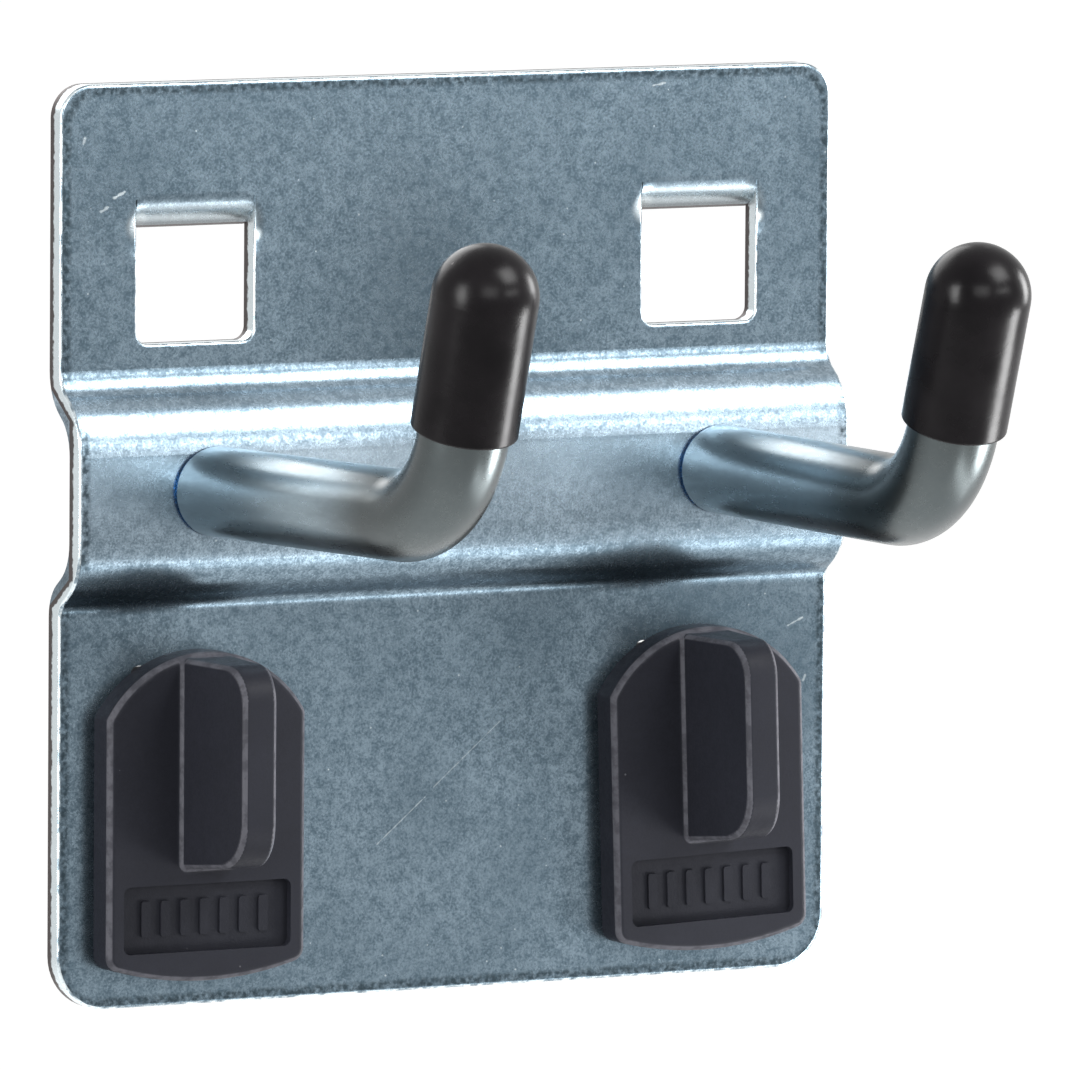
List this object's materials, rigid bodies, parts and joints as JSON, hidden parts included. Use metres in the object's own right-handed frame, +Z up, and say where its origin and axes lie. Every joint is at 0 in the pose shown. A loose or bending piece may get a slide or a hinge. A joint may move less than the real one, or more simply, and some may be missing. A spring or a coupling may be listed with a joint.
{
  "type": "double tool hook for a perforated panel",
  "caption": "Bent-rod tool hooks on a zinc-plated plate with hanging tabs and plastic lock clips for a square-perforated panel.",
  "frame": {"origin": "on the plate's back face, midway between the centres of the two upper perforations that the tabs go into", "axes": "+X to the right seen from the front, +Y back into the panel, +Z up"},
  "size_m": [0.058, 0.0482, 0.0614],
  "materials": {
    "zinc_plate": "zinc-plated, blue passivated, satin",
    "zinc_rod": "zinc-plated, smooth, satin",
    "black_vinyl": "glossy dipped vinyl",
    "black_plastic": "fine moulded matte"
  },
  "bodies": {
    "hook": {"back_plate": "zinc_plate", "hook_rod_left": "zinc_rod", "hook_rod_right": "zinc_rod", "end_cap_left": "black_vinyl", "end_cap_right": "black_vinyl"},
    "clip_left": {"lock_clip_left": "black_plastic"},
    "clip_right": {"lock_clip_right": "black_plastic"}
  },
  "joints": [
    {"name": "clip_left_pull", "type": "slide", "parent": "hook", "child": "clip_left", "axis": [0, -1, 0], "range_m": [0, 0.005]},
    {"name": "clip_right_pull", "type": "slide", "parent": "hook", "child": "clip_right", "axis": [0, -1, 0], "range_m": [0, 0.005]}
  ]
}
